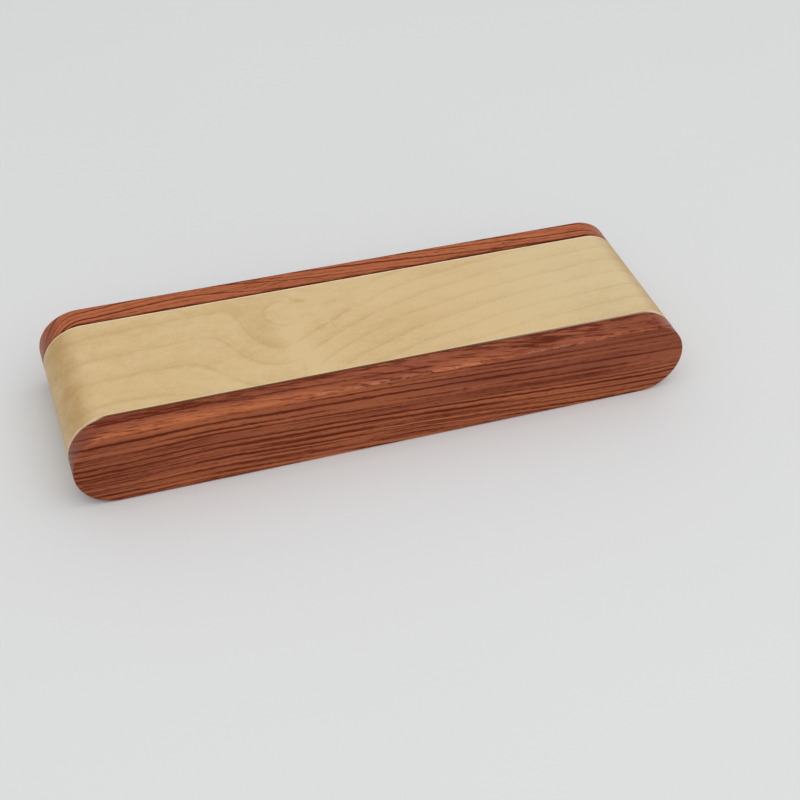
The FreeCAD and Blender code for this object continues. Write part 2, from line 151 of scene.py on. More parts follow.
def finish_mesh(name, shape, smooth_angle=WOOD_ANGLE):
    """Turns a bmesh in millimetres into an object in metres, shaded smooth up to an angle."""
    bmesh.ops.remove_doubles(shape, verts=shape.verts, dist=MERGE)
    bmesh.ops.dissolve_degenerate(shape, edges=shape.edges, dist=MERGE / 10)
    bmesh.ops.recalc_face_normals(shape, faces=shape.faces)
    shape.transform(Matrix.Scale(MM, 4))
    mesh = bpy.data.meshes.new(name)
    shape.to_mesh(mesh)
    shape.free()
    piece = bpy.data.objects.new(name, mesh)
    bpy.context.scene.collection.objects.link(piece)
    shade(piece, smooth_angle)
    return piece


def shade(piece, smooth_angle):
    """Smooth faces, with a sharp edge wherever two of them meet at more than the angle."""
    mesh = piece.data
    mesh.polygons.foreach_set("use_smooth", [True] * len(mesh.polygons))
    mesh.set_sharp_from_angle(angle=math.radians(smooth_angle))


def loft(rings):
    """A bmesh of quads between rings of points, each ring with the same number of points."""
    shape = bmesh.new()
    loops = [[shape.verts.new(point) for point in ring] for ring in rings]
    count = len(loops[0])
    for near, far in zip(loops, loops[1:]):
        for i in range(count):
            j = (i + 1) % count
            shape.faces.new((near[i], near[j], far[j], far[i]))
    return shape


def cap_ends(shape, count):
    """Closes the first and the last ring of a loft, each of count points."""
    shape.verts.ensure_lookup_table()
    shape.faces.new(shape.verts[:count])
    shape.faces.new(list(reversed(shape.verts[-count:])))


def apply_modifiers(piece):
    """Keeps what the modifiers make of a piece as its own mesh."""
    graph = bpy.context.evaluated_depsgraph_get()
    made = bpy.data.meshes.new_from_object(piece.evaluated_get(graph))
    made.name = piece.name
    piece.modifiers.clear()
    piece.data = made


def combine(piece, tool, operation):
    """Cuts a tool from a piece, or joins it on, and removes the tool."""
    step = piece.modifiers.new(operation, "BOOLEAN")
    step.operation = operation
    step.solver = "EXACT"
    step.object = tool
    apply_modifiers(piece)
    bpy.data.objects.remove(tool)


def cut(piece, *tools):
    """Cuts each tool from a piece in turn."""
    for tool in tools:
        combine(piece, tool, "DIFFERENCE")


def bar_outline(inset):
    """Points (x, z) round the case's outline, all moved inwards by the inset."""
    reach = RADIUS - inset
    points = []
    for side in (1, -1):
        for i in range(ALONG_STEPS):
            points.append((side * STRAIGHT * (2 * i / ALONG_STEPS - 1), MIDDLE + side * reach))
        for i in range(ROUND_STEPS):
            angle = math.pi / 2 - math.pi * i / ROUND_STEPS
            points.append((
                side * (STRAIGHT + reach * math.cos(angle)),
                MIDDLE + side * reach * math.sin(angle),
            ))
    return points


def round_over(radius, steps):
    """Pairs (inset, depth) through a rounded edge, from the face to the side."""
    turn = [math.pi / 2 * i / steps for i in range(steps + 1)]
    return [(radius * (1 - math.sin(a)), radius * (1 - math.cos(a))) for a in turn]


def bar_solid(first_y, last_y, first_round, last_round, wall_steps):
    """The case's profile between two faces, each with its own rounded edge."""
    # Rings across a flat face, as shares of the radius: at 1 the ring closes on the middle line
    cap = [1.0, 0.75, 0.5, 0.28, 0.16, 0.09, 0.065]
    direction = 1 if last_y > first_y else -1
    stations = [(RADIUS * share, first_y) for share in cap]
    for inset, depth in round_over(first_round, 6):
        stations.append((inset, first_y + direction * depth))
    start = first_y + direction * first_round
    end = last_y - direction * last_round
    for i in range(1, wall_steps):
        stations.append((0.0, start + (end - start) * i / wall_steps))
    for inset, depth in reversed(round_over(last_round, 6)):
        stations.append((inset, last_y - direction * depth))
    stations += [(RADIUS * share, last_y) for share in reversed(cap)]
    return loft([
        [Vector((x, y, z)) for x, z in bar_outline(inset)]
        for inset, y in stations
    ])


def lathe(profile, segments=96):
    """A turned shape round +Z from (radius, height) pairs that start and end on the axis."""
    rings = []
    for radius, height in profile:
        ring = []
        for i in range(segments):
            angle = 2 * math.pi * i / segments
            ring.append(Vector((radius * math.cos(angle), radius * math.sin(angle), height)))
        rings.append(ring)
    return loft(rings)


def rounded_rod(radius, length, edge, steps=5):
    """The profile of a rod from z = 0 up, with rounded rims."""
    lower = [(radius - inset, depth) for inset, depth in round_over(edge, steps)]
    upper = [(wide, length - depth) for wide, depth in reversed(lower)]
    return [(0.0, 0.0), (radius * 0.5, 0.0)] + lower + upper + [(radius * 0.5, length), (0.0, length)]


def lay(shape, side, x, y, z):
    """Turns a shape's own +Z towards the front or the rear and puts its origin at a point."""
    turn = Matrix.Rotation(math.radians(-90 * side), 4, "X")
    shape.transform(Matrix.Translation((x, y, z)) @ turn)
    return shape


def cross_hole(name, diameter, side, x, z, inner, outer):
    """A cutter for a round hole along Y from one distance off the centre line to another."""
    profile = [(0, 0), (diameter / 2, 0), (diameter / 2, outer - inner), (0, outer - inner)]
    return finish_mesh(name, lay(lathe(profile), side, x, side * inner, z))


def block(name, low, high):
    """A cutter in the form of a box."""
    shape = bmesh.new()
    bmesh.ops.create_cube(shape, size=1.0)
    centre = (Vector(low) + Vector(high)) / 2
    scale = Matrix.Diagonal(Vector(high) - Vector(low)).to_4x4()
    shape.transform(Matrix.Translation(centre) @ scale)
    return finish_mesh(name, shape)


def prism(name, outline, half_width):
    """A cutter with a given outline (x, z), symmetrical about the centre line."""
    shape = bmesh.new()
    ends = [[shape.verts.new((x, y, z)) for x, z in outline] for y in (-half_width, half_width)]
    for i in range(len(outline)):
        j = (i + 1) % len(outline)
        shape.faces.new((ends[0][i], ends[0][j], ends[1][j], ends[1][i]))
    shape.faces.new(ends[0])
    shape.faces.new(list(reversed(ends[1])))
    return finish_mesh(name, shape)


def soften(piece, width):
    """Takes the sharpness off a machined piece's arrises."""
    bevel = piece.modifiers.new("soften", "BEVEL")
    bevel.width = width * MM
    bevel.segments = 2
    bevel.limit_method = "ANGLE"
    bevel.angle_limit = math.radians(40)
    bevel.use_clamp_overlap = False
    bevel.harden_normals = False
    apply_modifiers(piece)
    shade(piece, WOOD_ANGLE)
    even = piece.modifiers.new("even", "WEIGHTED_NORMAL")
    even.keep_sharp = True
    apply_modifiers(piece)


# ---------------------------------------------------------------- material helpers


class Value:
    """A number worked out by a material's nodes.  Arithmetic on it adds maths nodes."""

    def __init__(self, tree, socket):
        self.tree = tree
        self.socket = socket

    def maths(self, operation, *others):
        """What one of the maths node's operations makes of the number and any others."""
        node = self.tree.nodes.new("ShaderNodeMath")
        node.operation = operation
        for socket, item in zip(node.inputs, (self,) + others):
            feed(self.tree, socket, item)
        return Value(self.tree, node.outputs[0])

    def __add__(self, other):
        return self.maths("ADD", other)

    def __sub__(self, other):
        return self.maths("SUBTRACT", other)

    def __mul__(self, other):
        return self.maths("MULTIPLY", other)

    def __truediv__(self, other):
        return self.maths("DIVIDE", other)

    def __neg__(self):
        return self * -1.0

    def __rsub__(self, other):
        return -self + other

    __radd__ = __add__
    __rmul__ = __mul__

    def size(self):
        """The number without its sign."""
        return self.maths("ABSOLUTE")

    def root(self):
        """The number's square root."""
        return self.maths("SQRT")

    def bell(self, centre, width):
        """1 at the centre, fading to nothing over about twice the width."""
        away = (self - centre) / width
        return (-(away * away)).maths("EXPONENT")

    def rise(self, low, high):
        """0 below low, 1 above high, and a smooth step between; the other way if low > high."""
        node = self.tree.nodes.new("ShaderNodeMapRange")
        node.interpolation_type = "SMOOTHSTEP"
        feed(self.tree, node.inputs["Value"], self)
        feed(self.tree, node.inputs["From Min"], low)
        feed(self.tree, node.inputs["From Max"], high)
        return Value(self.tree, node.outputs["Result"])

    def to_whole(self):
        """How far the number is from the nearest whole number."""
        return (self + 0.5).maths("FRACT").maths("SUBTRACT", 0.5).size()


def feed(tree, socket, item):
    """Gives a socket a number or colour, or links it to a worked-out one."""
    if isinstance(item, Value):
        tree.links.new(item.socket, socket)
    elif isinstance(item, bpy.types.NodeSocket):
        tree.links.new(item, socket)
    elif isinstance(item, tuple):
        socket.default_value = (*item, 1.0)
    else:
        socket.default_value = item


def new_tree(name):
    """A new material and its empty node tree."""
    material = bpy.data.materials.new(name)
    material.use_nodes = True
    material.node_tree.nodes.clear()
    return material, material.node_tree


def millimetres(tree):
    """The piece's own coordinates x, y, z in millimetres."""
    whole = tree.nodes.new("ShaderNodeTexCoord")
    parts = tree.nodes.new("ShaderNodeSeparateXYZ")
    tree.links.new(whole.outputs["Object"], parts.inputs[0])
    return [Value(tree, socket) / MM for socket in parts.outputs]


def cloudy(tree, x, y, z, detail=3.0, rough=0.5):
    """Smooth noise from 0 to 1 at a point; one feature is about a unit across."""
    join = tree.nodes.new("ShaderNodeCombineXYZ")
    for socket, item in zip(join.inputs, (x, y, z)):
        feed(tree, socket, item)
    node = tree.nodes.new("ShaderNodeTexNoise")
    node.inputs["Scale"].default_value = 1.0
    node.inputs["Detail"].default_value = detail
    node.inputs["Roughness"].default_value = rough
    tree.links.new(join.outputs[0], node.inputs["Vector"])
    return Value(tree, node.outputs[0])


def colour_mix(tree, share, first, second):
    """The first colour, turned into the second by the share given."""
    node = tree.nodes.new("ShaderNodeMix")
    node.data_type = "RGBA"
    feed(tree, node.inputs["Factor"], share)
    for key, item in (("A_Color", first), ("B_Color", second)):
        socket = next(s for s in node.inputs if s.identifier == key)
        feed(tree, socket, item)
    return next(s for s in node.outputs if s.identifier == "Result_Color")


def surface(tree, colour, rough, height=None, bump=0.1, **settings):
    """The shader and the output; settings name the shader's own sockets with underscores."""
    shader = tree.nodes.new("ShaderNodeBsdfPrincipled")
    feed(tree, shader.inputs["Base Color"], colour)
    feed(tree, shader.inputs["Roughness"], rough)
    for name, item in settings.items():
        feed(tree, shader.inputs[name.replace("_", " ")], item)
    if height is not None:
        relief = tree.nodes.new("ShaderNodeBump")
        relief.inputs["Strength"].default_value = 1.0
        relief.inputs["Distance"].default_value = bump * MM
        feed(tree, relief.inputs["Height"], height)
        tree.links.new(relief.outputs[0], shader.inputs["Normal"])
    output = tree.nodes.new("ShaderNodeOutputMaterial")
    tree.links.new(shader.outputs[0], output.inputs["Surface"])


def lines_at(field, lines, width):
    """Thin lines where the field passes given values; lines pairs each value with a strength."""
    total = None
    for value, strength in lines:
        line = field.bell(value, width) * strength
        total = line if total is None else total + line
    return total.maths("MINIMUM", 1.0)


# ---------------------------------------------------------------- woods

MAPLE_PALE = (0.67, 0.487, 0.252)
# The paler, cooler colour painted towards the right end as light
MAPLE_PAINTED_LIGHT = (0.665, 0.525, 0.300)
MAPLE_DEEP = (0.49, 0.305, 0.12)
# The pale colour painted along the arrises as a highlight
MAPLE_ARRIS_HIGHLIGHT = (0.86, 0.72, 0.52)
# The dark colour painted along the front gap as its shadow
MAPLE_GAP_SHADOW = (0.15, 0.036, 0.004)
ROSEWOOD_ORANGE = (0.455, 0.132, 0.050)
ROSEWOOD_RED = (0.25, 0.064, 0.032)
ROSEWOOD_DARK = (0.110, 0.013, 0.001)
# Pale torn wood, with painted glints on its fibres
ROSEWOOD_TORN_GLINT = (0.72, 0.38, 0.27)
BEECH_PALE = (0.58, 0.36, 0.19)
BEECH_DARK = (0.44, 0.25, 0.12)
BEECH_FLECK = (0.28, 0.14, 0.07)

# The small knot in the top of the lid
KNOT_X, KNOT_Y, KNOT_RADIUS = -19.2, 8.0, 4.6
# The spacing of the rosewood's fainter growth lines
LINE_PITCH = 1.55
# The mesh layer that says how torn a rail's edge is
CHIP_LAYER = "chip"

# The rails' boldest growth lines: depth below the top outer edge, and how dark
FRONT_LINES = (
    (-3.4, 0.75), (-1.1, 0.3), (1.3, 0.25), (2.9, 0.95), (4.4, 0.3), (6.2, 0.45), (7.3, 0.7),
    (8.4, 0.4), (9.3, 1.0), (10.3, 0.35), (11.3, 0.75), (12.1, 0.4), (13.0, 0.8), (14.4, 1.0),
    (15.7, 0.35), (17.4, 0.6), (18.6, 0.3), (19.9, 0.8),
)
REAR_LINES = (
    (-5.2, 0.9), (-3.7, 0.5), (-2.2, 0.9), (-0.9, 0.4), (0.6, 1.0), (2.0, 0.4), (3.0, 0.8),
    (4.6, 0.3), (6.1, 0.9), (8.0, 0.5), (11.2, 0.8), (15.5, 0.7),
)


def outer_depth(x, z):
    """How far inside the case's outline a point lies, seen from the side."""
    beyond = (x.size() - STRAIGHT).maths("MAXIMUM", 0.0)
    drop = z - MIDDLE
    return RADIUS - (beyond * beyond + drop * drop).root()


def maple_field(tree, x, y, z):
    """Growth-ring number: whole numbers are the dark lines, which bend round a crest at the knot."""
    wobble = cloudy(tree, x * 0.05, y * 0.09, z * 0.09, detail=2.0) - 0.5
    across = 18.2 - y + (HEIGHT - z) * 0.42
    across = across + wobble * 2.6 + (x + 22.0).maths("MINIMUM", 0.0) * 0.055
    past = x + 22.6 + across * 0.11 - 2.3
    left = past.maths("MINIMUM", 0.0) / (across * 0.45 + 4.0).maths("MAXIMUM", 6.0)
    right = past.maths("MAXIMUM", 0.0) / 17.1
    crest = (-(left * left)).maths("EXPONENT") / (right * right + 1.0)
    level = 12.7 - x.rise(-20.6, 62.2) * 6.8 + crest * 16.6
    spacing = 8.4 - x.rise(-36.0, -20.0) * 2.3 - x.rise(-20.0, 20.0) * 0.4
    return (across - level) / spacing


def maple_knot(tree, x, y, z):
    """The small knot: its ring, how far inside it a point lies, and the stains it leaves."""
    away_x = x - KNOT_X
    away_y = y - KNOT_Y
    warp = cloudy(tree, x * 0.3, y * 0.3, z * 0.3, detail=2.0) - 0.5
    far = (away_x * away_x + away_y * away_y).root() + warp * 1.6
    ring = far.bell(KNOT_RADIUS, 0.45) * (1.0 - away_x.rise(-1.0, 3.5) * 0.7)
    inside = far.rise(KNOT_RADIUS + 1.0, KNOT_RADIUS - 0.6)
    smear = cloudy(tree, x * 0.8, y * 1.1, z * 0.5, detail=3.0, rough=0.7).rise(0.3, 0.6)
    eye = x.bell(-14.0, 1.7) * (y + x * 0.25).bell(8.2, 0.9) * smear
    mark = x.bell(-19.6, 1.0) * y.bell(-13.2, 2.4) * smear
    around = x.bell(-7.0, 8.0) * (y - x * 0.3).bell(4.5, 6.5)
    blotch = cloudy(tree, x * 0.35, y * 0.4, z * 0.4, detail=4.0, rough=0.65).rise(0.4, 0.7)
    stains = ring * 0.26 + eye * 0.7 + blotch * around * 0.36 + mark * 0.6 - inside * 0.1
    return ring, inside, stains


def maple_line(tree, x, y, z, ring):
    """The thin growth lines, each strong and weak by turns and broken here and there."""
    strength = cloudy(tree, x * 0.09, y * 0.2, z * 0.2, detail=2.0).rise(0.25, 0.6)
    broken = cloudy(tree, x * 0.9, y * 2.4, z * 2.4, detail=3.0, rough=0.6).rise(0.3, 0.62)
    return ring.to_whole().rise(0.13, 0.0) * (strength * 0.7 + 0.3) * (broken * 0.6 + 0.4)


def maple_clouds(tree, x, y, z, ring, end_turn):
    """Soft dark and pale areas in the wood between the lines, with a band of painted shade round each
    rounded end.
    """
    patch = cloudy(tree, x * 0.03, y * 0.07, z * 0.07, detail=2.0) - 0.5
    mottle = cloudy(tree, x * 0.22, y * 0.38, z * 0.38, detail=5.0, rough=0.68) - 0.5
    curl = cloudy(tree, end_turn * 5.0, y * 0.12, x * 0.05, detail=3.0) - 0.3
    # painted shade: a dark band round each rounded end at about 45 degrees, where the end turns away
    # from the light; the curl term is grain
    ends = end_turn.bell(0.68, 0.27) * 0.6 + end_turn.rise(0.1, 0.5) * curl * 0.5
    tan = ring.rise(-0.8, -1.3) * x.bell(-27.0, 8.0)
    cross = (x + 19.5 + y * 0.1).bell(0.0, 3.2) * y.rise(6.0, 0.0)
    dusky = x.bell(3.0, 13.0) * y.bell(-6.0, 8.0)
    clouds = patch * 0.8 + mottle * (0.95 - x.rise(-15.0, 15.0) * 0.35) + ends
    return clouds + tan * 0.24 - cross * 0.45 + dusky * 0.3 + x.rise(40.0, -70.0) * 0.08 + 0.06


def maple_edges(tree, x, y, z, end_turn):
    """Shares of painted highlight along every outer arris (the same share also makes it a little
    rougher), and of painted shadow for the gap along the top front one.
    """
    depth = outer_depth(x, z)
    arris = (LID_FACE - y.size()).rise(0.75, 0.3) * depth.rise(0.8, 0.2)
    # painted highlight: a pale line along every outer arris, where the eased edge catches the light
    wear_and_highlight = arris * (cloudy(tree, x * 0.35, y, z * 0.5, detail=3.0).rise(0.3, 0.65) * 0.6 + 0.4)
    # painted shadow: a dark strip down the front side just under the top edge, for the shade in the
    # gap to the front rail
    gap_shadow = y.rise(-LID_FACE + 0.45, -LID_FACE + 0.25) * depth.rise(0.9, 0.5)
    gap_shadow = gap_shadow * (0.96 - x.rise(15.0, 60.0) * 0.45) * (1.0 - end_turn.rise(0.05, 0.35) * 0.8)
    return wear_and_highlight, gap_shadow


def make_maple():
    """Pale maple with thin growth lines that bend round a small knot."""
    material, tree = new_tree("maple_oiled")
    x, y, z = millimetres(tree)
    ring = maple_field(tree, x, y, z)
    # how far round a rounded end a point lies: 0 on the straight, 1 at the tip
    end_turn = ((x.size() - STRAIGHT) / RADIUS).maths("MAXIMUM", 0.0)
    line = maple_line(tree, x, y, z, ring)
    knot_ring, inside_knot, stains = maple_knot(tree, x, y, z)
    fleck = cloudy(tree, x * 0.75, y * 4.2, z * 4.2, detail=2.0, rough=0.6).rise(0.6, 0.78)
    speck = cloudy(tree, x * 3.2, y * 3.2, z * 3.2, detail=2.0, rough=0.7)
    fibre = cloudy(tree, x * 0.16, ring * 9.0, z * 0.5, detail=4.0, rough=0.65)

    shown = 1.0 - x.rise(6.0, -10.0) * ring.rise(-1.2, -1.55)
    faint = (0.72 - x.rise(-25.0, 20.0) * 0.1) * (1.0 - end_turn.rise(0.1, 0.6) * 0.5) * shown
    late_wood = ring.maths("FRACT").rise(0.45, 1.0) * shown
    dark = line * (1.0 - inside_knot) * faint * 0.36 + late_wood * 0.14 + stains
    dark = dark + fleck * 0.3 + (fibre - 0.5) * 0.36 + (speck - 0.5) * 1.1
    dark = dark + maple_clouds(tree, x, y, z, ring, end_turn)

    # painted light: the wood turns paler and cooler towards the right end
    pale = colour_mix(tree, x.rise(15.0, 75.0) * 0.7, MAPLE_PALE, MAPLE_PAINTED_LIGHT)
    colour = colour_mix(tree, dark.maths("MAXIMUM", 0.0), pale, MAPLE_DEEP)
    wear_and_highlight, gap_shadow = maple_edges(tree, x, y, z, end_turn)
    # how strong the painted arris highlight is, a little more at the rear and round the ends
    highlight_share = y.rise(0.0, 1.0) * 0.1 + end_turn.rise(0.05, 0.35) * 0.05 + 0.66
    colour = colour_mix(tree, wear_and_highlight * highlight_share, colour, MAPLE_ARRIS_HIGHLIGHT)
    # painted shadow of the gap to the front rail
    colour = colour_mix(tree, gap_shadow, colour, MAPLE_GAP_SHADOW)
    rough = 0.40 + (speck - 0.5) * 0.12 + line * 0.06 + wear_and_highlight * 0.1
    relief = fleck * -0.5 + speck * 0.25 + fibre * 0.5 - line * 0.4 - knot_ring * 0.6
    surface(tree, colour, rough, relief, bump=0.035, Specular_IOR_Level=0.22)
    return material


def rosewood_depth(tree, x, y, z, side):
    """Depth through the growth lines of one rail, in millimetres below its top outer edge."""
    wobble = (cloudy(tree, x * 0.03, y * 0.08, z * 0.06, detail=2.0) - 0.5) * 0.8
    shiver = (cloudy(tree, x * 0.3, y * 0.35, z * 0.5, detail=1.0) - 0.5) * 0.42
    inwards = RAIL_OUT - y * side
    down = HEIGHT - z
    if side < 0:
        sink = x.rise(-52.0, 95.0) * (4.6 + down * 0.12) - x.bell(-44.0, 9.0) * 0.3
        lean = 0.9
    else:
        sink = x.bell(-43.0, 20.0) * 2.4 - x.rise(-42.0, 78.0) * 7.0
        lean = 0.95
    return down - sink - inwards * lean + wobble + shiver


def rosewood_noises(tree, x, y, z, depth, inwards, shift):
    """The noises that the look of the rosewood is made of, each from 0 to 1."""
    drift = cloudy(tree, x * 0.008 + shift, depth * 0.22, y * 0.03, detail=2.0) - 0.5
    number = depth / LINE_PITCH + drift * 1.9
    weight = cloudy(tree, x * 0.035 + shift, number * 0.9, z * 0.02, detail=1.0).rise(0.36, 0.6)
    slant = inwards * 0.95 + x * 0.16 + z * 0.4
    across, up = y * 2.0 + z * 1.2, z * 2.0 - y * 1.2
    return SimpleNamespace(
        fade=cloudy(tree, x * 0.06 + shift, depth * 0.5, z * 0.1, detail=1.5).rise(0.28, 0.62),
        fine=cloudy(tree, x * 0.03 + shift, depth * 1.25, y * 0.05, detail=0.6),
        even=number.to_whole().rise(0.27, 0.07) * (weight * 0.8 + 0.2),
        dash=cloudy(tree, x * 0.13 + shift, slant * 1.35, z * 0.3, detail=2.0, rough=0.7),
        stain=cloudy(tree, x * 0.09 + shift, inwards * 0.5, z * 0.2, rough=0.6),
        streak=cloudy(tree, x * 0.012 + shift, depth * 0.7, y * 0.03, detail=1.0).rise(0.35, 0.65),
        pore=cloudy(tree, x * 0.3 + shift, across, up, detail=0.5).rise(0.62, 0.74),
        grain=cloudy(tree, x * 0.7, across * 0.8, up * 0.8, detail=1.0, rough=0.6),
        patch=cloudy(tree, x * 0.045 + shift, y * 0.16, z * 0.12, rough=0.6),
    )


def rosewood_warmth(x, z, inwards, side, noises):
    """How far the wood turns from red to orange, most of all along the top outer edge."""
    warm = (noises.patch - 0.5) * 0.5 + (noises.fine - 0.5) * 0.45
    if side > 0:
        band = z.rise(HEIGHT - 3.0, HEIGHT - 0.5) * (0.54 + x.bell(36.0, 19.0) * 0.5)
        return warm + band + noises.streak * 0.5 + 0.12
    band = inwards.rise(3.6, 1.0) * z.rise(HEIGHT - 2.2, HEIGHT - 0.4)
    band = band * (x.rise(2.0, -30.0) * 0.68 + x.bell(19.0, 11.0) * 0.6)
    face = inwards.rise(1.2, 0.4) * (0.32 - x.rise(-20.0, 40.0) * z.rise(5.0, 14.0) * 0.3)
    return warm + band + face + noises.streak * 0.3 + 0.1 - x.rise(-50.0, -72.0) * 0.3


def front_marks(x, inwards, depth, top, lines, noises):
    """How near black the front rail is: its growth lines, and the marks along its top."""
    even = noises.even * (0.75 - top * 0.75 - x.rise(25.0, 50.0) * 0.2)
    clear = 1.0 - top * x.rise(-5.0, 15.0) * 0.75
    dashes = noises.dash.rise(0.47, 0.64) * (x.rise(-20.0, 10.0) * 0.3 + 0.4)
    stain = noises.stain.rise(0.42, 0.62) * x.bell(43.0, 15.0) * inwards.rise(1.2, 3.2) * 0.6
    split = depth.bell(-3.6, 0.35) * noises.dash.rise(0.25, 0.6) * x.rise(12.0, -8.0) * 0.25
    inner = (inwards - x.rise(-60.0, 0.0) * 1.6).rise(3.0, 4.4)
    band = inner * (0.38 - x.rise(-20.0, 10.0) * 0.2) + x.rise(52.0, 66.0) * 0.25
    return (lines + even) * clear + top * (dashes + stain + split + band)


def rear_marks(inwards, top, lines, noises):
    """The same for the plainer rear rail, with painted shadow along its inner edge by the gap to the
    maple.
    """
    dashes = noises.dash.rise(0.47, 0.64) * 0.2
    # a darker line along the outer edge, and painted shadow along the inner edge where the gap to the
    # maple is
    edges = inwards.rise(1.0, 0.2) * 0.3 + inwards.rise(5.7, 6.2) * 0.55
    return lines + noises.even * 0.2 + top * (dashes + edges)


def rosewood_edges(tree, x, y, z, inwards, shift, colour):
    """The colour with its rubbed outer arris, and with the torn wood that the mesh marks: paler raw
    wood with painted glints on its fibres, and darker torn wood.
    """
    chip = tree.nodes.new("ShaderNodeAttribute")
    chip.attribute_name = CHIP_LAYER
    chips = Value(tree, chip.outputs["Fac"])
    arris = inwards.rise(1.1, 0.35) * outer_depth(x, z).rise(1.1, 0.3)
    rub = cloudy(tree, x * 0.4 + shift, y * 1.4, z * 1.4, detail=4.0, rough=0.7).rise(0.5, 0.74)
    torn = cloudy(tree, x * 0.7, (inwards + z) * 3.6, y * 1.2, detail=4.0, rough=0.75)
    glint = (inwards + (HEIGHT - z)).bell(0.3, 0.3) * torn.rise(0.40, 0.56)
    colour = colour_mix(tree, arris * rub * 0.35, colour, ROSEWOOD_ORANGE)
    # painted highlight: pale glints along the torn arris, over paler raw wood
    colour = colour_mix(tree, chips * glint * 0.75, colour, ROSEWOOD_TORN_GLINT)
    colour = colour_mix(tree, chips * torn.rise(0.44, 0.32) * 0.6, colour, ROSEWOOD_DARK)
    return colour, chips


def make_rosewood(name, side, bold_lines, shift):
    """Dark red-brown rosewood with near-black growth lines and open pores."""
    material, tree = new_tree(name)
    x, y, z = millimetres(tree)
    inwards = RAIL_OUT - y * side
    depth = rosewood_depth(tree, x, y, z, side)
    noises = rosewood_noises(tree, x, y, z, depth, inwards, shift)
    warm = rosewood_warmth(x, z, inwards, side, noises)
    colour = colour_mix(tree, warm.rise(-0.1, 1.0), ROSEWOOD_RED, ROSEWOOD_ORANGE)

    line = lines_at(depth, bold_lines, 0.19) * (noises.fade * 0.55 + 0.45)
    lines = line * 0.8 + lines_at(depth, bold_lines, 0.5) * 0.2
    top = z.rise(HEIGHT - 1.2, HEIGHT - 0.2)
    if side < 0:
        dark = front_marks(x, inwards, depth, top, lines, noises)
    else:
        dark = rear_marks(inwards, top, lines, noises)
    dark = dark + noises.fine.rise(0.5, 0.72) * 0.3 + noises.pore * 0.3 + (0.5 - noises.grain) * 0.5
    colour = colour_mix(tree, dark.rise(-0.05, 1.05), colour, ROSEWOOD_DARK)

    colour, chips = rosewood_edges(tree, x, y, z, inwards, shift, colour)
    rough = 0.34 + (noises.grain - 0.5) * 0.16 + noises.pore * 0.2 + chips * 0.3
    relief = noises.pore * -0.5 + noises.grain * 0.25 - line * 0.3
    surface(tree, colour, rough, relief, bump=0.03, Specular_IOR_Level=0.10)
    return material


def make_beech():
    """Plain beech for the dowels, with its short dark flecks."""
    material, tree = new_tree("beech_plain")
    x, y, z = millimetres(tree)
    fleck = cloudy(tree, x * 3.0, y * 0.7, z * 3.0, detail=2.0).rise(0.58, 0.7)
    fibre = cloudy(tree, x * 5.0, y * 0.25, z * 5.0, detail=4.0, rough=0.7)
    colour = colour_mix(tree, fibre, BEECH_PALE, BEECH_DARK)
    colour = colour_mix(tree, fleck * 0.5, colour, BEECH_FLECK)
    surface(tree, colour, 0.62 + (fibre - 0.5) * 0.15, fibre - fleck * 0.4, bump=0.06)
    return material


# ---------------------------------------------------------------- metals, foam and velvet

BRASS_BRIGHT, BRASS_DULL = (0.72, 0.50, 0.20), (0.36, 0.22, 0.09)
NICKEL_BRIGHT, NICKEL_DULL = (0.70, 0.69, 0.66), (0.48, 0.46, 0.43)
FOAM_CELL, FOAM_WALL = (0.045, 0.043, 0.042), (0.018, 0.017, 0.017)
VELVET_DEEP, VELVET_LIT = (0.010, 0.010, 0.013), (0.028, 0.028, 0.034)
LINT = (0.11, 0.11, 0.12)
FOAM_CELLS_PER_METRE = 3500.0


def make_metal(name, bright, dull, rough, turned):
    """A turned metal: tool marks as fine as turned says, smears of tarnish and small scratches."""
    material, tree = new_tree(name)
    x, y, z = millimetres(tree)
    tarnish = cloudy(tree, x * 0.6, y * 0.6, z * 0.6, detail=4.0, rough=0.6).rise(0.4, 0.75)
    scratch = cloudy(tree, x * 9.0, y * 0.8, z * 9.0, detail=2.0).rise(0.62, 0.7)
    tool = cloudy(tree, y * turned, z * turned, x * 0.2, detail=2.0)
    colour = colour_mix(tree, tarnish * 0.7, bright, dull)
    worn = rough + tarnish * 0.18 + (tool - 0.5) * 0.1 + scratch * 0.08
    surface(tree, colour, worn, tool * 0.5 - scratch * 0.5, bump=0.012, Metallic=1.0)
    return material


def make_foam():
    """Dense dark foam with closed cells."""
    material, tree = new_tree("foam_dense")
    x, y, z = millimetres(tree)
    cell = tree.nodes.new("ShaderNodeTexVoronoi")
    cell.inputs["Scale"].default_value = FOAM_CELLS_PER_METRE
    whole = tree.nodes.new("ShaderNodeTexCoord")
    tree.links.new(whole.outputs["Object"], cell.inputs["Vector"])
    cells = Value(tree, cell.outputs["Distance"])
    cloud = cloudy(tree, x * 0.4, y * 0.4, z * 0.4)
    colour = colour_mix(tree, cells.rise(0.1, 0.7), FOAM_CELL, FOAM_WALL)
    surface(tree, colour, 0.85 + (cloud - 0.5) * 0.1, cells, bump=0.05)
    return material


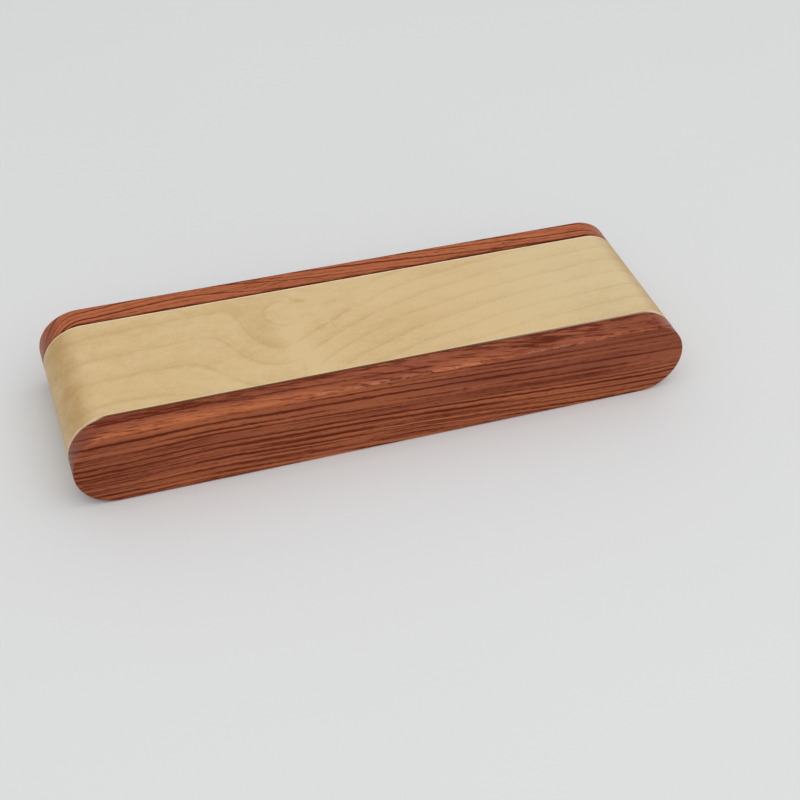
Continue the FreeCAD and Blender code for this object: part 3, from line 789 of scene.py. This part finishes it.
def make_velvet():
    """Short black pile: soft sheen, brushed patches and a fine nap."""
    material, tree = new_tree("velvet_black")
    x, y, z = millimetres(tree)
    nap = cloudy(tree, x * 4.0, y * 4.0, z * 4.0, detail=1.0, rough=0.6)
    brush = cloudy(tree, x * 0.2, y * 0.3, z * 0.35, detail=3.0)
    lint = cloudy(tree, x * 1.4, y * 1.4, z * 1.4, detail=5.0, rough=0.8).rise(0.72, 0.8)
    stroke = cloudy(tree, x * 0.04, y * 0.12, z * 0.3, detail=1.0).rise(0.35, 0.65)
    light = brush.rise(0.3, 0.75) * 0.4 + stroke * 0.15 + (nap - 0.5) * 0.9
    colour = colour_mix(tree, light.rise(0.0, 1.0), VELVET_DEEP, VELVET_LIT)
    colour = colour_mix(tree, lint * 0.25, colour, LINT)
    sheen = brush * 0.1 + stroke * 0.04 + nap * 0.2 + 0.12
    surface(
        tree, colour, 0.9 + (nap - 0.5) * 0.1, nap, bump=0.05,
        Sheen_Weight=sheen, Sheen_Roughness=0.35, Specular_IOR_Level=0.12,
    )
    return material


# One material for each finish; the two rails differ in their lines
MATERIALS = {
    "maple": make_maple(),
    "front_rosewood": make_rosewood("rosewood_front", -1, FRONT_LINES, 0.0),
    "rear_rosewood": make_rosewood("rosewood_rear", 1, REAR_LINES, 7.3),
    "beech": make_beech(),
    "brass": make_metal("brass_turned", BRASS_BRIGHT, BRASS_DULL, 0.26, 14.0),
    "nickel": make_metal("nickel_plate", NICKEL_BRIGHT, NICKEL_DULL, 0.12, 5.0),
    "foam": make_foam(),
    "velvet": make_velvet(),
}


def place(piece, node, body, slot, material=None):
    """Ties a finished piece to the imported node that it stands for."""
    piece.data.materials.clear()
    piece.data.materials.append(MATERIALS[material or slot])
    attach(piece, body)
    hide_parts(node)
    return piece


# ---------------------------------------------------------------- rails

CHIP_FROM, CHIP_TO = -24.0, 72.0
CHIP_DEPTH = 0.22
# How much the sandpaper takes off a rail: on average, and more or less than that from place to place
SANDED = 0.02
UNEVEN = 0.02


def ramp(value, low, high):
    """0 below low, 1 above high, straight between."""
    return min(1.0, max(0.0, (value - low) / (high - low)))


def chip_amount(point, side):
    """How much of the top outer arris has torn away at a point, from 0 to 1."""
    if side > 0 or point.z < HEIGHT - 1.6:
        return 0.0
    inwards = RAIL_OUT - abs(point.y)
    near = 1 - ramp(inwards + (HEIGHT - point.z), 0.7, 1.5)
    zone = ramp(point.x, CHIP_FROM, CHIP_FROM + 12) * (1 - ramp(point.x, CHIP_TO - 10, CHIP_TO))
    rough = noise.fractal(Vector((point.x * 0.35, 3.7, 1.2 * inwards)), 0.9, 2.3, 5)
    return near * zone * ramp(rough, -0.1, 0.4)


def wear_rail(shape, side):
    """Moves a rail's points as sanding and the torn arris do, and records how torn each one is."""
    mark = shape.verts.layers.float.new(CHIP_LAYER)
    for vert in shape.verts:
        point = vert.co.copy()
        amount = chip_amount(point, side)
        vert[mark] = amount
        spot = Vector((point.x * 0.07, point.y * 0.3 + 9 * side, point.z * 0.16))
        slow = noise.noise(spot)
        middle = Vector((min(max(point.x, -STRAIGHT), STRAIGHT), point.y, MIDDLE))
        outwards = point - middle
        if outwards.length > 1.0:
            worn = SANDED + UNEVEN * slow + CHIP_DEPTH * amount * 0.6
            vert.co -= outwards.normalized() * worn
        vert.co.y -= side * CHIP_DEPTH * amount * 0.5


def make_rail(side_name, side):
    """One rosewood rail: the full profile, hand sanded, with blind holes for its fixings."""
    shape = bar_solid(side * RAIL_IN, side * RAIL_OUT, SMALL_ROUND, RAIL_ROUND, 12)
    wear_rail(shape, side)
    rail = finish_mesh(f"rosewood_rail_{side_name}", shape)
    start = RAIL_IN - 2
    low, high = span(f"pivot_pin_{side_name}")
    end = max(abs(low.y), abs(high.y))
    cut(rail, cross_hole("pin_hole", high.x - low.x, side, PIVOT_X, MIDDLE, start, end))
    for hand in ("left", "right"):
        low, high = span(f"dowel_{side_name}_{hand}")
        end = max(abs(low.y), abs(high.y)) + DOWEL_PLAY
        spot = (low + high) / 2
        cut(rail, cross_hole("dowel_hole", high.x - low.x, side, spot.x, spot.z, start, end))
    shade(rail, WOOD_ANGLE)
    place(rail, f"{side_name}_rail", "case", "rosewood", f"{side_name}_rosewood")


# ---------------------------------------------------------------- base and lid


def trough_tool():
    """A cutter for the pen's room: round ends from the side, rounded corners from above."""
    half = TROUGH_LENGTH / 2
    deep_to = half - TROUGH_HEIGHT / 2
    wide_to = half - TROUGH_CORNER
    steps = 64
    turns = [math.pi / 2 * i / steps for i in range(steps + 1)]
    reaches = [deep_to + (half - deep_to) * math.sin(turn) for turn in turns]
    rings = []
    for reach in sorted([-reach for reach in reaches] + reaches + [wide_to, -wide_to]):
        over_deep = max(0.0, abs(reach) - deep_to)
        over_wide = max(0.0, abs(reach) - wide_to)
        tall = math.sqrt(max(0.0, (TROUGH_HEIGHT / 2) ** 2 - over_deep**2))
        corner = math.sqrt(max(0.0, TROUGH_CORNER**2 - over_wide**2))
        wide = TROUGH_WIDTH / 2 - TROUGH_CORNER + corner
        rings.append([
            Vector((reach + TROUGH_SHIFT, side_y * wide, MIDDLE + side_z * tall))
            for side_y, side_z in ((-1, -1), (1, -1), (1, 1), (-1, 1))
        ])
    return finish_mesh("trough_tool", loft(rings))


def shared_tools():
    """The cuts that the base and the lid both have: trough, magnets and nail groove."""
    tools = [trough_tool()]
    for side_name in SIDES:
        low, high = span(f"base_magnet_{side_name}")
        upper = span(f"lid_magnet_{side_name}")[1].z
        radius = (high.x - low.x) / 2
        shape = lathe([(0, low.z), (radius, low.z), (radius, upper), (0, upper)])
        spot = (low + high) / 2
        shape.transform(Matrix.Translation((spot.x, spot.y, 0)))
        tools.append(finish_mesh("magnet_tool", shape))
    tip = LENGTH / 2
    reach = NAIL_GROOVE / math.sqrt(2)
    diamond = ((-reach, 0), (0, reach), (reach, 0), (0, -reach))
    tools.append(prism("nail_tool", [(tip + x, MIDDLE + z) for x, z in diamond], RAIL_OUT))
    return tools


def swing_tool():
    """A cutter for the room in which the lid's short end turns down behind the pivot."""
    above = MIDDLE + 1.0
    turn = [math.radians(180 + SWING_ANGLE * i / 48) for i in range(49)]
    outline = [(PIVOT_X, above), (PIVOT_X - SWING_RADIUS, above)]
    outline += [
        (PIVOT_X + SWING_RADIUS * math.cos(a), MIDDLE + SWING_RADIUS * math.sin(a)) for a in turn
    ]
    return prism("sweep", outline, RAIL_OUT)


def make_base():
    """The lower half of the maple centre, with the room for the lid's short end."""
    base = finish_mesh("maple_base", bar_solid(-RAIL_IN, RAIL_IN, SMALL_ROUND, SMALL_ROUND, 16))
    cut(base, block("upper_half", (-LENGTH, -CLEAR, BASE_TOP), (LENGTH, CLEAR, CLEAR)))
    cut(base, *shared_tools(), swing_tool())
    room = 2 * (KNUCKLE_RADIUS + KNUCKLE_GAP)
    room_from = LID_FACE - KNUCKLE_REACH - KNUCKLE_GAP
    for side_name, side in SIDES.items():
        cut(base, cross_hole("room", room, side, PIVOT_X, MIDDLE, room_from, RAIL_OUT))
        for hand in ("left", "right"):
            low, high = span(f"dowel_{side_name}_{hand}")
            spot = (low + high) / 2
            start = min(abs(low.y), abs(high.y)) - DOWEL_PLAY
            cut(base, cross_hole("dowel_hole", high.x - low.x, side, spot.x, spot.z, start, RAIL_OUT))
    soften(base, MAPLE_ARRIS)
    place(base, "base_block", "case", "maple")


def pivot_tool(side):
    """A stepped cutter for one pin's hole and the wider seat of its washer."""
    bottom, seat = LID_FACE - PIN_HOLE_DEPTH, LID_FACE - WASHER_RECESS_DEPTH
    hole, recess = PIN_HOLE / 2, WASHER_RECESS / 2
    profile = [(0, bottom), (hole, bottom), (hole, seat)]
    profile += [(recess, seat), (recess, RAIL_OUT), (0, RAIL_OUT)]
    return finish_mesh("pin_tool", lay(lathe(profile), side, PIVOT_X, 0, MIDDLE))


def make_lid():
    """The upper half of the maple centre, with a knuckle at each side round the pivot."""
    lid = finish_mesh("maple_lid", bar_solid(-LID_FACE, LID_FACE, LID_ROUND, LID_ROUND, 16))
    cut(lid, block("lower_half", (-LENGTH, -CLEAR, -CLEAR / 2), (LENGTH, CLEAR, LID_BOTTOM)))
    start = LID_FACE - KNUCKLE_REACH
    for side in SIDES.values():
        knuckle = cross_hole("knuckle", 2 * KNUCKLE_RADIUS, side, PIVOT_X, MIDDLE, start, LID_FACE)
        combine(lid, knuckle, "UNION")
    cut(lid, *shared_tools())
    for side in SIDES.values():
        cut(lid, pivot_tool(side))
    soften(lid, MAPLE_ARRIS)
    place(lid, "lid", "lid", "maple")


# ---------------------------------------------------------------- pins, washers, magnets, dowels


def crosswise(node, side):
    """The diameter and length of a round part that lies along Y, and where its inner end is."""
    low, high = span(node)
    return high.x - low.x, high.y - low.y, side * min(abs(low.y), abs(high.y))


def make_pin(side_name, side):
    """The brass pin, pressed into a rail, that the lid turns on."""
    node = f"pivot_pin_{side_name}"
    diameter, length, inner = crosswise(node, side)
    pin = lay(lathe(rounded_rod(diameter / 2, length, PIN_ROUND)), side, PIVOT_X, inner, MIDDLE)
    place(finish_mesh(f"pin_{side_name}", pin), node, "case", "brass")


def make_washer(side_name, side):
    """The brass washer between the lid and a rail, with a small chamfer in its bore."""
    node = f"pivot_washer_{side_name}"
    diameter, thick, inner = crosswise(node, side)
    bore, chamfer = WASHER_BORE_RADIUS, WASHER_CHAMFER
    rim = [(diameter / 2 - inset, depth) for inset, depth in round_over(WASHER_ROUND, 4)]
    ring = [(bore, chamfer), (bore + chamfer, 0.0)] + rim
    ring += [(wide, thick - depth) for wide, depth in reversed(rim)]
    ring += [(bore + chamfer, thick), (bore, thick - chamfer), (bore, chamfer)]
    washer = lay(lathe(ring), side, PIVOT_X, inner, MIDDLE)
    place(finish_mesh(f"washer_{side_name}", washer), node, "lid", "brass")


def make_magnets(side_name):
    """The nickel-plated discs at one side, one in the base and one in the lid."""
    for body, node in (("case", f"base_magnet_{side_name}"), ("lid", f"lid_magnet_{side_name}")):
        low, high = span(node)
        spot = (low + high) / 2
        disc = lathe(rounded_rod((high.x - low.x) / 2, high.z - low.z, MAGNET_ROUND))
        disc.transform(Matrix.Translation((spot.x, spot.y, low.z)))
        place(finish_mesh(f"disc_{node}", disc), node, body, "nickel")


def make_dowels(side_name, side):
    """The two fluted dowels between the base and one rail."""
    for hand in ("left", "right"):
        node = f"dowel_{side_name}_{hand}"
        diameter, length, inner = crosswise(node, side)
        low, high = span(node)
        spot = (low + high) / 2
        dowel = lathe(rounded_rod(diameter / 2, length, DOWEL_ROUND), segments=6 * DOWEL_FLUTES)
        for vert in dowel.verts:
            angle = math.atan2(vert.co.y, vert.co.x)
            flute = 0.5 + 0.5 * math.cos(angle * DOWEL_FLUTES)
            vert.co.x *= 1 - FLUTE_SHARE * flute
            vert.co.y *= 1 - FLUTE_SHARE * flute
        lay(dowel, side, spot.x, inner, spot.z)
        place(finish_mesh(f"fluted_{node}", dowel, FLUTE_ANGLE), node, "case", "beech")


# ---------------------------------------------------------------- bed and liner


def rounded_path(corners, steps=6):
    """A closed path through corners (a, b, radius), with each corner rounded."""
    path = []
    count = len(corners)
    for i, (a, b, radius) in enumerate(corners):
        here = Vector((a, b))
        before = Vector(corners[i - 1][:2]) - here
        after = Vector(corners[(i + 1) % count][:2]) - here
        if radius == 0:
            path.append(here)
            continue
        half = before.angle(after) / 2
        reach = radius / math.tan(half)
        start = here + before.normalized() * reach
        end = here + after.normalized() * reach
        for step in range(steps + 1):
            t = step / steps
            path.append(start.lerp(here, t).lerp(here.lerp(end, t), t))
    return path


def bed_outline(half_width, floor, top, groove, edge):
    """The bed's cross-section (y, z): a block with a round groove along its top."""
    drop = PEN_AXIS - top
    side = math.sqrt(groove**2 - drop**2)
    corners = [(half_width, floor, 0), (half_width, top, edge), (side, top, edge)]
    first = math.asin(drop / groove)
    steps = 40
    for i in range(1, steps):
        angle = first + (math.pi - 2 * first) * i / steps
        corners.append((groove * math.cos(angle), PEN_AXIS - groove * math.sin(angle), 0))
    corners += [(-side, top, edge), (-half_width, top, edge), (-half_width, floor, 0)]
    return rounded_path(corners)


def sweep_along(name, outline, first, last, stations, end_round=0.0):
    """A solid of one cross-section along X, its upper side rolled over at both ends."""
    floor = min(z for y, z in outline)
    roll = round_over(end_round, 6) if end_round else []
    start, end = first + end_round, last - end_round
    steps = [(first + inset, drop) for drop, inset in roll]
    steps += [(start + (end - start) * i / stations, 0.0) for i in range(stations + 1)]
    steps += [(last - inset, drop) for drop, inset in reversed(roll)]
    shape = loft([
        [Vector((x, y, z - drop if z > floor + 0.5 else z)) for y, z in outline] for x, drop in steps
    ])
    cap_ends(shape, len(outline))
    return finish_mesh(name, shape)


def make_bed():
    """The grooved foam block, and its velvet cover with a flap down each end."""
    low, high = span("bed_foam")
    cover_low, cover_high = span("bed_velvet")
    inner = bed_outline(high.y, low.z, high.z, GROOVE_RADIUS + VELVET, FOAM_EDGE)
    foam = sweep_along("bed_foam_block", inner, low.x, high.x, 8)
    outer = bed_outline(cover_high.y, cover_low.z, cover_high.z, GROOVE_RADIUS, COVER_EDGE)
    cover = sweep_along("bed_velvet_cover", outer, cover_low.x, cover_high.x, 260, COVER_END_ROUND)
    tool = foam.copy()
    tool.data = foam.data.copy()
    bpy.context.scene.collection.objects.link(tool)
    cut(cover, tool)
    for vert in cover.data.vertices:
        at = vert.co / MM
        if at.z > low.z + 4 and abs(at.x) < high.x - 1:
            swell = noise.noise(Vector((at.x * 0.3, at.y * 0.5, at.z * 0.5)))
            vert.co.z += COVER_UNEVEN * MM * swell
    shade(cover, CLOTH_ANGLE)
    place(foam, "bed_foam", "case", "foam")
    place(cover, "bed_velvet", "case", "velvet")


def liner_layer(name, node, slot, edge):
    """One layer of the liner: a thin pad with rounded corners and softly rounded edges."""
    low, high = span(node)
    spot = (low + high) / 2
    half_x, half_y = (high.x - low.x) / 2, (high.y - low.y) / 2

    def ring(inset, z):
        """The pad's outline at one height, moved inwards."""
        corner = max(LINER_CORNER - inset, 0.05)
        wide, deep = half_x - inset, half_y - inset
        turns = ((1, -1), (1, 1), (-1, 1), (-1, -1))
        path = rounded_path([(wide * x, deep * y, corner) for x, y in turns], steps=12)
        return [Vector((spot.x + x, y, z)) for x, y in path]

    rings = [ring(inset, low.z) for inset in (8.0, 5.0, 2.5, 1.0)]
    rings += [ring(inset, low.z + depth) for inset, depth in round_over(edge, 5)]
    rings += [ring(inset, high.z - depth) for inset, depth in reversed(round_over(0.05, 3))]
    rings += [ring(inset, high.z) for inset in (1.0, 4.0, 8.0)]
    shape = loft(rings)
    cap_ends(shape, len(rings[0]))
    piece = finish_mesh(name, shape, CLOTH_ANGLE)
    place(piece, node, "lid", slot)


# ---------------------------------------------------------------- stage

CAMERA_AZIMUTH = math.radians(-21.20)
CAMERA_ELEVATION = math.radians(41.39)
CAMERA_ROLL = math.radians(2.945)
CAMERA_PLACE = Vector((-0.09762, -0.27826, 0.25436))
LENS = 67.84
SENSOR = 36.0
BOARD_PALE, BOARD_PALER = (0.70, 0.70, 0.695), (0.73, 0.73, 0.725)
FLOOR_HALF = 2600.0
ROOM_COLOUR = (0.97, 0.985, 1.0, 1.0)
ROOM_STRENGTH = 0.60
OVERHEAD_POWER = 14.6
SIDE_POWER = 0.8


def make_camera():
    """The viewpoint: above the front left corner, looking down the length of the case."""
    flat, steep, roll = math.cos(CAMERA_ELEVATION), math.sin(CAMERA_ELEVATION), CAMERA_ROLL
    right = Vector((math.cos(CAMERA_AZIMUTH), math.sin(CAMERA_AZIMUTH), 0))
    back = Vector((right.y * flat, -right.x * flat, steep))
    up = back.cross(right)
    turned_right = math.cos(roll) * right + math.sin(roll) * up
    turned_up = math.cos(roll) * up - math.sin(roll) * right
    data = bpy.data.cameras.new("camera")
    data.lens = LENS
    data.sensor_width = SENSOR
    data.clip_start = 0.01
    camera = bpy.data.objects.new("camera", data)
    turn = Matrix((turned_right, turned_up, back)).transposed().to_4x4()
    camera.matrix_world = Matrix.Translation(CAMERA_PLACE) @ turn
    bpy.context.scene.collection.objects.link(camera)
    bpy.context.scene.camera = camera


def make_floor():
    """A pale sheet of matt board under the case."""
    material, tree = new_tree("floor_board")
    x, y, z = millimetres(tree)
    cloud = cloudy(tree, x * 0.004, y * 0.004, z, detail=2.0)
    tooth = cloudy(tree, x * 2.0, y * 2.0, z, detail=2.0)
    colour = colour_mix(tree, cloud, BOARD_PALE, BOARD_PALER)
    surface(tree, colour, 0.75 + (tooth - 0.5) * 0.05, tooth, bump=0.01, Specular_IOR_Level=0.2)
    shape = bmesh.new()
    bmesh.ops.create_grid(shape, x_segments=24, y_segments=24, size=FLOOR_HALF)
    floor = finish_mesh("floor", shape)
    floor.data.materials.append(material)


def area_light(name, spot, aim, size, power):
    """A white rectangular light at a spot, turned towards an aim."""
    data = bpy.data.lights.new(name, "AREA")
    data.shape = "RECTANGLE"
    data.size, data.size_y = size
    data.energy = power
    light = bpy.data.objects.new(name, data)
    spot = Vector(spot)
    turn = (spot - Vector(aim)).to_track_quat("Z", "Y").to_matrix().to_4x4()
    light.matrix_world = Matrix.Translation(spot) @ turn
    bpy.context.scene.collection.objects.link(light)


def make_lights():
    """A wide soft light above and in front, a weak one at the right rear, and a pale room."""
    world = bpy.data.worlds.new("room")
    world.use_nodes = True
    background = world.node_tree.nodes["Background"]
    background.inputs["Color"].default_value = ROOM_COLOUR
    background.inputs["Strength"].default_value = ROOM_STRENGTH
    bpy.context.scene.world = world
    area_light("overhead", (0.02, -0.6, 1.25), (0.0, -0.12, 0), (2.4, 2.0), OVERHEAD_POWER)
    area_light("side", (0.95, 0.35, 0.95), (0, 0, 0), (1.2, 1.2), SIDE_POWER)
    bpy.context.scene.view_settings.view_transform = "Standard"


# ---------------------------------------------------------------- build

make_camera()
make_floor()
make_lights()
for side_name, side in SIDES.items():
    make_rail(side_name, side)
    make_pin(side_name, side)
    make_washer(side_name, side)
    make_magnets(side_name)
    make_dowels(side_name, side)
make_base()
make_lid()
make_bed()
liner_layer("liner_foam", "lid_foam", "foam", 0.05)
liner_layer("liner_velvet", "lid_velvet", "velvet", 0.2)


def corners(box):
    """A box's two corners as plain lists."""
    return [list(corner) for corner in box]
